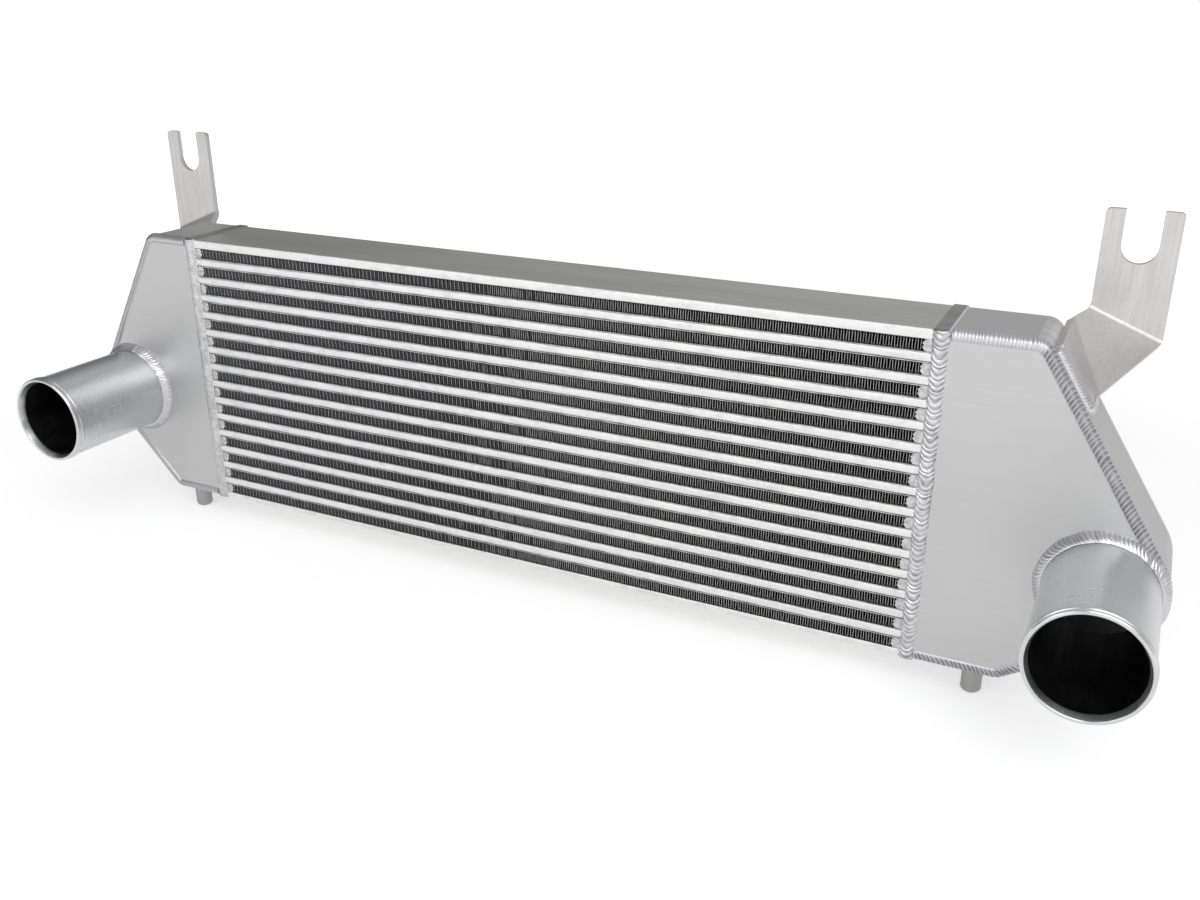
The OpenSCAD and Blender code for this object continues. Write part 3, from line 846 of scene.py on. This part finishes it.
@dataclass
class Tank:
    """One end tank, with its pipe, peg, bracket and welds."""

    side: Side
    core: Core
    top_w: float
    bottom_w: float
    pipe_out: float
    pipe_z: float
    fork_out: float
    fork_top: float
    wall: float = 3.0
    top_r: float = 12.0
    bottom_r: float = 8.0
    end_r: float = 39.0
    seam_w: float = 6.5
    core_weld_w: float = 12.0
    core_weld_h: float = 2.2
    wrap_edge: float = 0.4

    def __post_init__(self) -> None:
        """Works out the corner circles and the angles of the straight sides."""
        self.top = Round(self.top_w, self.core.height - self.top_r, self.top_r)
        self.end = Round(self.pipe_out, self.pipe_z, self.end_r)
        self.bottom = Round(self.bottom_w, self.bottom_r, self.bottom_r)
        self.upper = self.top.touch(self.end)
        self.lower = self.end.touch(self.bottom)

    def place(self, point: Vector) -> Vector:
        """A point measured from this end of the core, in the shared frame."""
        x = self.side.value * (self.core.width / 2 + point.x)
        return from_front(Vector((x, point.y, point.z)))

    def node(self, name: str) -> str:
        """The name of this tank's node."""
        return f"{self.side.word}_{name}"

    def piece(
        self,
        name: str,
        bm: bmesh.types.BMesh,
        finish: Finish,
        nodes: Iterable[str],
        slot: Slot = Slot.WELD,
        sharp: float = BEAD_SHARP,
    ) -> bpy.types.Object:
        """Makes a piece of this tank, by default a weld.

        Args:
            name: The piece's name without its side.
            bm: The mesh, in millimetres from this end of the core.
            finish: The finish that covers it.
            nodes: The names, without their side, of the nodes that it replaces.
            slot: The record's slot that the finish belongs to.
            sharp: Edges sharper than this angle, in degrees, stay sharp.

        Returns:
            The new object.
        """
        names = [self.node(node) for node in nodes]
        return make_piece(f"{name}_{self.side.word}", bm, finish, slot, names, self.place, sharp)

    def build(self) -> None:
        """Builds and dresses every piece of the tank."""
        for name in ("tank_front", "tank_back"):
            dress_node(self.node(name), TANK_FINISH)
        self._wrap()
        self._core_weld()
        self._seam("front", 0.0)
        self._seam("back", self.core.depth)
        Pipe(self).build()
        Peg(self).build()
        Bracket(self).build()

    def outline(self, start: float, step: float) -> list[Station]:
        """Stations along the outline, from the top of the core round to its underside.

        Args:
            start: Distance from the end of the core at which the path starts and ends.
            step: Greatest distance from one station to the next.

        Returns:
            The stations, whose across direction points out of the outline and whose out
            direction points to the front.
        """
        legs: list[tuple[Round | None, Vector, Vector, float, float]] = []
        corners = [(self.top, QUARTER, self.upper), (self.end, self.upper, self.lower),
                   (self.bottom, self.lower, -QUARTER)]
        point = Vector((start, 0, self.core.height))
        for circle, a0, a1 in corners:
            legs.append((None, point, circle.rim(a0), a0, a0))
            legs.append((circle, circle.rim(a0), circle.rim(a1), a0, a1))
            point = circle.rim(a1)
        legs.append((None, point, Vector((start, 0, 0)), -QUARTER, -QUARTER))
        made: list[Station] = []
        run = 0.0
        for circle, p0, p1, a0, a1 in legs:
            length = abs(a0 - a1) * circle.radius if circle else (p1 - p0).length
            count = max(1, math.ceil(length / step))
            for i in range(0 if not made else 1, count + 1):
                share = i / count
                angle = a0 + (a1 - a0) * share
                spot = circle.rim(angle) if circle else p0.lerp(p1, share)
                front = Vector((0, -1, 0))
                made.append(Station(spot, heading(angle), front, run + length * share))
            run += length
        return made

    def _wrap(self) -> None:
        """Builds the sheet that is bent round the top, the end and the underside."""
        depth, wall, edge = self.core.depth, self.wall, self.wrap_edge
        loop = [(-wall, -edge), (-edge, -edge), (0, -2 * edge), (0, 2 * edge - depth),
                (-edge, edge - depth), (-wall, edge - depth)]

        def section(share: float, station: Station) -> tuple[float, float, float]:
            """The sheet's cross section, the same everywhere."""
            a, b = loop[round(share * len(loop)) % len(loop)]
            return a, b, 0.0

        bm = sweep(self.outline(0.0, 2.5), section, len(loop))
        piece = self.piece("wrap", bm, TANK_FINISH, ["tank_wrap", "tank_top"], Slot.TANK, 35)
        bend = self.place(self.top.rim(QUARTER)).x
        low = self.place(self.top.rim(self.upper)).z
        dress_faces(
            piece,
            BRUSHED_FINISH,
            lambda f: f.center.z > low and abs(f.center.x) > abs(bend) and f.normal.z > 0.2,
        )

    def _core_weld(self) -> None:
        """Builds the weld round the joint of core and tank, ground flat on the top."""
        height, depth = self.core.height, self.core.depth
        section_corners = ((0, 0, 0), (0, 0, height), (0, depth, height), (0, depth, 0))
        corners = [Vector(corner) for corner in section_corners]
        outs = [Vector(out) for out in ((0, -1, 0), (0, 0, 1), (0, 1, 0), (0, 0, -1))]
        right = self.side is Side.RIGHT
        kind = (3.7, 0.95, -1.1, 0.1, 0.35, 3) if right else (2.9, 0.6, 0.1, -1.6, 0.2, 5)
        ripples = Ripples(*kind)
        fine = Ripples(ripples.pitch * 0.53, 0.18, ripples.bend * 1.3, ripples.slant, 0.3, 8)
        step, turns, corner_run = 0.36, 6, 2.0
        stations: list[Station] = []
        across = Vector((1, 0, 0))
        run = 0.0
        for i, (p0, out) in enumerate(zip(corners, outs)):
            p1, following = corners[(i + 1) % 4], outs[(i + 1) % 4]
            length = (p1 - p0).length
            count = math.ceil(length / step)
            for k in range(count + 1):
                spot = p0.lerp(p1, k / count)
                stations.append(Station(spot, across, out, run + length * k / count))
            run += length
            for k in range(1, turns):
                stations.append(Station(p1, across, out.slerp(following, k / turns), run + 0.3 * k))
            run += corner_run
        stations.append(stations[0])
        width, crown, domed = self.core_weld_w / 2, self.core_weld_h, 0.8

        def section(share: float, station: Station) -> tuple[float, float, float]:
            """The weld's dome with its ripples, flat where it was ground."""
            u = 1 - 2 * share / domed
            if u < -1:
                back = (share - domed) / (1 - domed)
                return width * (2 * back - 1) * 0.7, -1.0, PLAIN
            dome = 1 - u * u
            ground = max(0.0, station.out.z) ** 0.5
            lift, shade = ripples.at(station.run, u)
            sign = self.side.value
            wander = 0.6 * noise.noise(Vector((station.run * 0.08, 9.1, sign)))
            wander += 0.4 * noise.noise(Vector((station.run * 0.45, 2.3, sign))) * u
            lift_2, shade_2 = fine.at(station.run, u)
            edge = width * (0.9 - 0.05 * (1 - shade)) * u + wander * (1 - ground)
            knob = max(0.0, 1 - ((station.run - height + 5) / 6.5) ** 2) if right else 0.0
            edge *= 1 + 0.14 * knob * (1 - ground)
            rise = crown * 0.88 * dome**0.6 + lift * min(1.0, dome * 3) * (1 - 0.7 * knob)
            rise += 1.3 * knob * dome + lift_2 * min(1.0, dome * 3)
            # Painted shading: painted shade in the ripples' valleys and painted highlights on their
            # crests, a patchy random tone, and a painted highlight line along both toes.
            patch = 0.5 + noise.noise(Vector((station.run * 0.3, u * 1.5, 7.7)))
            shade = min(1.0, 0.02 + 0.3 * patch + 0.8 * shade + 0.25 * shade_2)
            if abs(u) > 0.88:
                shade = 1.0
            flat = min(1.0, 0.9 * dome * 4)
            out = rise * (1 - ground) + flat * ground - 0.12
            offset = edge * (1 - ground) + width * u * 0.9 * ground
            return offset, out, shade * (1 - ground) + ground

        bm = sweep(stations, section, ring=True)
        piece = self.piece("core_weld", bm, BEAD_FINISH if right else ROPE_FINISH, ["core_weld"])
        # The up-facing ground faces get the painted dark sheen; past the toe the bead's painted
        # highlight line stays.
        limit = (height + 0.05) * MM
        toe = (self.core.width / 2 + 0.72 * width) * MM
        dress_faces(
            piece,
            GROUND_PAINTED_SHEEN_FINISH,
            lambda f: f.center.z > limit and f.normal.z > 0.5 and abs(f.center.x) < toe,
        )

    def _seam(self, name: str, face: float) -> None:
        """Builds the rippled seam weld round one edge of the tank.

        Args:
            name: front or back.
            face: How far that edge lies behind the front.
        """
        reach, sink = self.seam_w, 0.49 * self.seam_w
        radius = math.hypot(reach - sink, sink)
        a0 = math.pi - math.asin(sink / radius)
        a1 = math.asin(sink / radius) - QUARTER
        step, heel, heel_share, face_share, toe = 0.32, 1.4, 0.92, 0.9, -0.86
        stations = self.outline(self.core_weld_w / 2, step)
        facing = Vector((0, -1 if face == 0 else 1, 0))
        limit = 9.0 if face == 0 else -0.15
        right = self.side is Side.RIGHT
        calm, finish = (1.0, SEAM_FINISH) if right else (0.6, SOFT_FINISH)
        stations = [
            Station(s.origin + Vector((0, face, 0)), s.across, facing, s.run) for s in stations
        ]
        top_end = self.top_w - self.core_weld_w / 2 + 6
        close = Ripples(2.2, 0.3, 0.2, 0.15, 0.35, 11)
        wide = Ripples(3.0, 0.4, -1.1, 0.3, 0.3, 12)

        def section(share: float, station: Station) -> tuple[float, float, float]:
            """The seam's round face with its ripples, closed inside the sheets."""
            if share > heel_share:
                return -heel, -heel, PLAIN
            u = share / face_share
            side = 2 * u - 1
            slope = unit((station.run - top_end) / 4)
            lift, shade = close.at(station.run, side)
            lift_2, shade_2 = wide.at(station.run, side)
            lift += (lift_2 - lift) * slope
            # Painted shading: painted shade in the ripples' valleys with thin painted highlights on
            # the crests, painted lighter towards the outer side, and a painted highlight line along
            # the inner toe.
            outer = unit(0.4 + side)
            shade_2 = 0.5 * outer + (1 - 0.5 * outer) * min(1.0, 1.2 * shade_2**1.8)
            shade = 0.55 + 0.5 * shade
            shade += (shade_2 - shade) * slope
            if side < toe:
                shade, lift = 0.9, 0.1
            lift *= calm
            angle = a0 + (a1 - a0) * u
            fade = min(1.0, 3.5 * (1 - abs(side)))
            grow = radius + lift * fade - 0.18 - 0.1 * (1 - fade)
            across = -sink + grow * math.cos(angle)
            return min(across, limit), -sink + grow * math.sin(angle), shade

        self.piece(f"seam_{name}", sweep(stations, section), finish, [f"{name}_seam"])


@dataclass
class Pipe:
    """The turned pipe of a tank, with its raised rings and the weld at its root."""

    tank: Tank
    outer: float = 35.0
    bore: float = 31.5
    length: float = 98.0
    ring_l: float = 7.0
    ring_h: float = 1.0
    chamfer: float = 4.0
    weld_w: float = 5.5
    weld_h: float = 6.5

    def build(self) -> None:
        """Builds the pipe and its weld."""
        self._tube()
        self._weld()

    def _tube(self) -> None:
        """Spins the pipe's profile round its axis."""
        ring, lip = self.outer + self.ring_h, self.ring_l * 0.4
        mid = self.bore + 0.55 * (self.outer - self.bore)
        profile = [
            (self.bore, self.length + self.tank.wall), (self.bore, self.chamfer + 1.2),
            (self.bore + 0.15, self.chamfer), (mid - 0.2, 0.25), (mid + 0.15, 0.0),
            (self.outer - 0.35, 0.0), (self.outer + 0.25, 0.2), (ring - 0.35, 0.6),
            (ring - 0.25, 1.2), (ring - 0.3, lip - 0.7), (self.outer - 0.1, lip - 0.25),
            (self.outer - 0.1, lip + 0.6), (ring - 0.25, lip + 1.05), (ring, lip + 1.5),
            (ring, self.ring_l - 0.9), (ring - 0.3, self.ring_l - 0.3),
            (self.outer + 0.15, self.ring_l + 0.25), (self.outer, self.ring_l + 0.9),
            (self.outer, self.length * 0.5), (self.outer, self.length + self.tank.wall),
        ]
        profile = [(far, along - self.length) for far, along in profile]
        centre = Vector((self.tank.pipe_out, 0, self.tank.pipe_z))
        bm = spin_profile(profile, centre, Vector((0, 1, 0)), 144, ring=True)
        piece = self.tank.piece("pipe", bm, PIPE_FINISH, ["pipe"], Slot.PIPE, 28)
        # The faces inside the bore get the painted shade finish.
        axis, reach = self.tank.place(centre), (self.bore + 0.05) * MM
        dress_faces(
            piece,
            BORE_PAINTED_SHADE_FINISH,
            lambda f: math.hypot(f.center.x - axis.x, f.center.z - axis.z) < reach,
        )

    def _weld(self) -> None:
        """Wraps the rippled weld round the pipe's root."""
        tank = self.tank
        centre = Vector((tank.pipe_out, 0, tank.pipe_z))
        around, step, heel = TAU * (self.outer + 3), 0.36, 0.8
        count = round(around / step)
        pitch = around / round(around / 2.7)
        ripples = Ripples(pitch, 0.55, 0.7, 0.8, 0.3, 21 + tank.side.value)
        fine = Ripples(pitch / 2, 0.2, 0.7, 1.4, 0.1, 41)
        stations = []
        for i in range(count):
            across = heading(TAU * i / count)
            spot = centre + across * self.outer
            stations.append(Station(spot, across, Vector((0, -1, 0)), around * i / count))
        stations.append(stations[0])

        def section(share: float, station: Station) -> tuple[float, float, float]:
            """The fillet between tank and pipe, with its ripples."""
            if share > HEEL_SHARE:
                return -heel, -heel, PLAIN
            u = share / FACE_SHARE
            angle = QUARTER * u
            lift, shade = ripples.at(station.run % around, 2 * u - 1)
            lift_2, shade_2 = fine.at(station.run % around, 2 * u - 1)
            # The shade is painted shading: painted shade in the ripples' valleys, painted
            # highlights on their crests.
            lift, shade = lift + lift_2, min(1.0, 0.35 + 0.6 * shade + 0.3 * shade_2)
            turn = TAU * station.run / around
            way = Vector((math.cos(turn), math.sin(turn), 4.2))
            bulge = 0.45 * noise.noise(way * 2.2) + 0.5 * noise.noise(way * 7.0)
            fade = fillet_fade(u)
            belly = 1 - 0.16 * math.sin(2 * angle)
            a = (self.weld_w * belly + lift * fade + bulge) * math.cos(angle)
            b = (self.weld_h * belly + lift * fade + bulge) * math.sin(angle)
            return a - 0.1, b - 0.1, shade

        tank.piece("pipe_weld", sweep(stations, section, 18, True), BEAD_FINISH, ["pipe_weld"])


@dataclass
class Peg:
    """The locating peg that stands down from a tank."""

    tank: Tank
    out: float = 43.0
    depth: float = 17.0
    radius: float = 7.0
    length: float = 24.0
    chamfer: float = 2.5

    def build(self) -> None:
        """Spins the peg's profile round its axis."""
        profile = [
            (0.0, -self.length), (self.radius - self.chamfer - 0.5, -self.length),
            (self.radius - self.chamfer, 0.15 - self.length),
            (self.radius - 0.9, self.chamfer - 1.2 - self.length),
            (self.radius - 0.15, self.chamfer - 0.2 - self.length),
            (self.radius, self.chamfer + 0.5 - self.length), (self.radius, -1.6),
            (self.radius - 0.25, -1.3), (self.radius - 0.25, -0.5), (self.radius, -0.2),
            (self.radius, 0.0), (0.0, 0.0),
        ]
        centre = Vector((self.out, self.depth, 0))
        bm = spin_profile(profile, centre, Vector((0, 0, 1)), 72, ring=False)
        self.tank.piece("peg", bm, PEG_FINISH, ["peg"], Slot.PEG, 30)


@dataclass
class Bracket:
    """The forked hanging bracket of a tank, one bent sheet, and the weld along its foot."""

    tank: Tank
    thickness: float = 4.8
    fork_w: float = 46.0
    slot_w: float = 22.5
    slot_l: float = 23.0
    fork_y: float = 94.0
    fold_angle: float = 22.0
    foot_y: float = 12.0
    foot_l: float = 44.0
    foot_fold_y: float = 82.0
    tip_r: float = 3.0
    fold_r: float = 2.2
    weld_w: float = 5.5
    lower_weld_w: float = 4.2
    lower_weld_l: float = 19.0
    weld_turn_r: float = 2.8

    def slope(self, down: float, back: float, out: float) -> Vector:
        """A point of the sloping side: down it, behind the front and out of it."""
        angle = self.tank.upper
        start = self.tank.top.rim(angle)
        along = Vector((math.sin(angle), 0, -math.cos(angle)))
        return start + along * down + heading(angle) * out + Vector((0, back, 0))

    def build(self) -> None:
        """Folds the sheet, thickens it and lays its weld."""
        self._sheet()
        self._weld()

    def _sheet(self) -> None:
        """Builds the visible faces of the bent sheet and rounds its two folds."""
        tank, t = self.tank, self.thickness
        x0, x1 = tank.fork_out - self.fork_w / 2, tank.fork_out + self.fork_w / 2
        fold_a = self.slope(0, self.foot_fold_y, t)
        fold_b = self.slope(self.foot_l, self.foot_fold_y - self.foot_l, t)
        tilt = math.radians(self.fold_angle)
        normal = (fold_b - fold_a).cross(Vector((math.cos(tilt), 0, -math.sin(tilt)))).normalized()

        def fold_z(x: float) -> float:
            """Height of the fork's fold at a place across it."""
            drop = normal.x * (x - fold_a.x) + normal.y * (self.fork_y - fold_a.y)
            return fold_a.z - drop / normal.z

        fork_a = Vector((x0, self.fork_y, fold_z(x0)))
        fork_b = Vector((x1, self.fork_y, fold_z(x1)))
        bm = bmesh.new()
        foot_top, foot_low = (self.slope(down, self.foot_y, t) for down in (0, self.foot_l))
        spots = (foot_top, foot_low, fold_a, fold_b, fork_a, fork_b)
        at_foot_top, at_foot_low, at_a, at_b, at_fork_a, at_fork_b = map(bm.verts.new, spots)
        slot_0, slot_1 = tank.fork_out - self.slot_w / 2, tank.fork_out + self.slot_w / 2
        top, low = tank.fork_top, tank.fork_top - self.slot_l - self.slot_w / 2
        rim = [(x1, top), (slot_1, top), (slot_1, low), (slot_0, low), (slot_0, top), (x0, top)]
        fork = [bm.verts.new((x, self.fork_y, z)) for x, z in rim]
        bm.faces.new((at_foot_top, at_foot_low, at_b, at_a))
        bm.faces.new((at_a, at_b, at_fork_b, at_fork_a))
        bm.faces.new((at_fork_a, at_fork_b, *fork))
        round_off(bm, fork[2:4], self.slot_w / 2 - 0.01, 14, "VERTICES", clamp=False)
        tips = [v for v in bm.verts if abs(v.co.z - top) < 1e-3
                and min(abs(v.co.x - x0), abs(v.co.x - x1)) < 1e-3]
        round_off(bm, tips, self.tip_r, 5, "VERTICES")
        folds = [e for e in bm.edges if len(e.link_faces) == 2]
        round_off(bm, folds, self.fold_r, 6)
        bmesh.ops.recalc_face_normals(bm, faces=bm.faces)
        fork_face = max(bm.faces, key=lambda f: f.calc_center_median().z)
        if fork_face.normal.y > 0:
            bmesh.ops.reverse_faces(bm, faces=bm.faces)
        bmesh.ops.triangulate(bm, faces=[f for f in bm.faces if len(f.verts) > 4])
        bmesh.ops.solidify(bm, geom=bm.faces[:], thickness=t)
        piece = tank.piece("bracket", bm, BRACKET_FINISH, ["bracket"], Slot.BRACKET, 40)
        edge = piece.modifiers.new("edge", "BEVEL")
        edge.width = 0.4 * MM
        edge.segments = 2
        edge.limit_method = "ANGLE"
        edge.angle_limit = math.radians(50)

    def _weld(self) -> None:
        """Lays the rippled weld down the foot's front edge and round its lower corner."""
        tank = self.tank
        corner = self.slope(self.foot_l, self.foot_y, 0)
        start = self.slope(0.3, self.foot_y, 0)
        down = (self.slope(1, 0, 0) - self.slope(0, 0, 0)).normalized()
        normal = (self.slope(0, 0, 1) - self.slope(0, 0, 0)).normalized()
        front = Vector((0, -1, 0))
        lap, heel, radius, step = 2.5, 0.4, self.weld_turn_r, 0.3
        end_l = 3.2
        centre = corner + Vector((0, radius, 0)) - down * radius
        first, turn = (corner - start).length - radius, radius * QUARTER
        length = first + turn + self.lower_weld_l
        ripples = Ripples(2.15, 0.3, 1.5, 0.1, 0.25, 31)
        stations: list[Station] = []
        for i in range(math.ceil(length / step) + 1):
            run = min(length, i * step)
            across = front.slerp(down, unit((run - first) / turn))
            spot = centre + across * radius - down * max(0.0, first - run)
            spot -= front * max(0.0, run - first - turn)
            stations.append(Station(spot, across, normal, run))

        def section(share: float, station: Station) -> tuple[float, float, float]:
            """The fillet along the foot, with its ripples and closed ends."""
            if share > HEEL_SHARE:
                return heel - lap, heel, PLAIN
            u = share / FACE_SHARE
            angle = QUARTER * u
            lift, shade = ripples.at(station.run, 2 * u - 1)
            fade = fillet_fade(u)
            near = min(1.0, min(station.run, length - station.run) / end_l)
            close = max(0.15, math.sqrt(1 - (1 - near) ** 2))
            lump = 0.8 * noise.noise(Vector((station.run * 0.4, 3.3, 0)))
            narrower = self.lower_weld_w + 1.6 * lump - self.weld_w
            wide = self.weld_w + narrower * unit((station.run - first) / turn)
            belly = 1 + 0.05 * math.sin(2 * angle)
            over = lap * close
            a = ((wide + over) * belly + lift * fade) * math.cos(angle) * close - over
            b = (self.thickness * belly + 0.7 + lift * fade) * math.sin(angle) * close
            # The third value is the ripples' painted shading, lifted a little.
            return a - 0.05, b - 0.1, min(1.0, 0.1 + shade)

        tank.piece("bracket_weld", sweep(stations, section, 16), PALE_FINISH, ["bracket_weld"])


@dataclass(frozen=True)
class Lamp:
    """A soft lamp, with where it hangs, what it faces, its width and height in metres.

    A brightness of 1 makes its face white.
    """

    name: str
    spot: Triple
    aim: Triple
    size: tuple[float, float]
    brightness: float

    def hang(self) -> None:
        """Hangs the lamp in the scene."""
        data = bpy.data.lights.new(self.name, "AREA")
        data.shape = "RECTANGLE"
        data.size, data.size_y = self.size
        data.energy = self.brightness * math.pi * self.size[0] * self.size[1]
        lamp = add_object(self.name, data)
        lamp.location = self.spot
        towards = Vector(self.aim) - Vector(self.spot)
        lamp.rotation_euler = towards.to_track_quat("-Z", "Y").to_euler()


@dataclass(frozen=True)
class Camera:
    """The camera, fitted to the photograph, with its place and its picture's axes."""

    lens: float = 34.18
    sensor: float = 36.0
    shift: tuple[float, float] = (-0.00994, -0.00293)
    clip: tuple[float, float] = (0.01, 200.0)
    spot: Triple = (0.41728, -0.71112, 0.42625)
    right: Triple = (0.90045, 0.43495, 0.0015)
    up: Triple = (-0.16367, 0.33564, 0.92766)
    back: Triple = (0.40298, -0.83556, 0.37342)

    def place(self) -> None:
        """Puts the camera where the photograph was taken from."""
        data = bpy.data.cameras.new("camera")
        data.sensor_width, data.lens = self.sensor, self.lens
        data.shift_x, data.shift_y = self.shift
        data.clip_start, data.clip_end = self.clip
        camera = add_object("camera", data)
        turn = Matrix((self.right, self.up, self.back)).transposed().to_4x4()
        camera.matrix_world = Matrix.Translation(self.spot) @ turn
        bpy.context.scene.camera = camera


@dataclass
class Studio:
    """The plain pale floor, the soft lamps, the world and the camera.

    Each glow has the distances from the part where its change starts and ends, and its
    strength at both. The world's light has the same two pairs, along X from the left.
    """

    floor_z: float = -0.0242
    floor_half: float = 40.0
    floor_grey: float = 0.82
    floor_roughness: float = 0.9
    camera_glow: tuple[float, ...] = (0.7, 2.5, 0.45, 1.0)
    mirrored_glow: tuple[float, ...] = (0.65, 1.7, 0.3, 0.58)
    world_light: tuple[float, ...] = (-0.75, -0.3, 0.2, 0.52)

    def build(self) -> None:
        """Builds the whole studio."""
        self._floor()
        self._world()
        Lamp("front_softbox", (-1.0, -2.4, 0.8), (0.0, 0.0, 0.1), (1.5, 1.0), 2.0).hang()
        Lamp("right_softbox", (1.15, -1.95, 2.0), (0.0, -0.1, 0.1), (2.4, 1.9), 2.3).hang()
        Camera().place()
        bpy.context.scene.view_settings.view_transform = "Standard"

    def _floor(self) -> None:
        """Lays a pale floor that stays white to the camera and keeps a soft shadow."""
        bm = bmesh.new()
        bmesh.ops.create_grid(bm, x_segments=1, y_segments=1, size=self.floor_half)
        bmesh.ops.translate(bm, vec=(0, 0, self.floor_z), verts=bm.verts)
        floor = add_object("floor", to_mesh("floor", bm))
        made = bpy.data.materials.new("pale_floor")
        made.use_nodes = True
        graph = Graph(made.node_tree)
        shader = graph.tree.nodes["Principled BSDF"]
        graph.feed(shader.inputs["Base Color"], (*even(self.floor_grey), 1))
        graph.feed(shader.inputs["Roughness"], self.floor_roughness)
        graph.feed(shader.inputs["Specular IOR Level"], 0.0)
        glow = graph.add("ShaderNodeEmission")
        graph.feed(glow.inputs["Strength"], self._seen(graph))
        both = graph.add("ShaderNodeAddShader")
        graph.feed(both.inputs[0], shader.outputs[0])
        graph.feed(both.inputs[1], glow.outputs[0])
        graph.feed(graph.tree.nodes["Material Output"].inputs["Surface"], both.outputs[0])
        floor.data.materials.append(made)

    def _seen(self, graph: Graph) -> Socket:
        """A glow that only the camera, metal and glass see, stronger far from the part.

        Args:
            graph: The node tree that gets the nodes.

        Returns:
            The socket of the strength, which is 0 for all other rays.
        """
        far = graph.add("ShaderNodeVectorMath")
        far.operation = "LENGTH"
        graph.feed(far.inputs[0], graph.add("ShaderNodeTexCoord").outputs["Object"])
        straight = graph.span(far.outputs["Value"], *self.camera_glow)
        mirrored = graph.span(far.outputs["Value"], *self.mirrored_glow)
        path = graph.add("ShaderNodeLightPath").outputs
        total: Value = 0.0
        for ray, glow in (("Camera", straight), ("Glossy", mirrored), ("Transmission", mirrored)):
            total = graph.math("MULTIPLY_ADD", path[f"Is {ray} Ray"], glow, total)
        return total

    def _world(self) -> None:
        """Makes a white world that lights the part softly, a little darker on the left."""
        world = bpy.data.worlds.new("studio")
        world.use_nodes = True
        bpy.context.scene.world = world
        graph = Graph(world.node_tree)
        background = graph.tree.nodes["Background"]
        graph.feed(background.inputs["Color"], (1, 1, 1, 1))
        parts = graph.add("ShaderNodeSeparateXYZ")
        graph.feed(parts.inputs[0], graph.add("ShaderNodeTexCoord").outputs["Generated"])
        light = graph.span(parts.outputs["X"], *self.world_light)
        straight = graph.add("ShaderNodeLightPath").outputs["Is Camera Ray"]
        graph.feed(background.inputs["Strength"], graph.math("MAXIMUM", light, straight))


def main() -> None:
    """Builds the studio, the core and both tanks."""
    logging.basicConfig(level=logging.INFO, format="%(message)s")
    Studio().build()
    core = Core()
    core.build()
    Tank(
        Side.LEFT, core, top_w=40.0, bottom_w=50.0, pipe_out=86.0, pipe_z=91.0, fork_out=84.0,
        fork_top=305.0,
    ).build()
    Tank(
        Side.RIGHT, core, top_w=54.5, bottom_w=57.5, pipe_out=113.0, pipe_z=79.0, fork_out=100.0,
        fork_top=298.0,
    ).build()


if __name__ == "__main__":
    main()
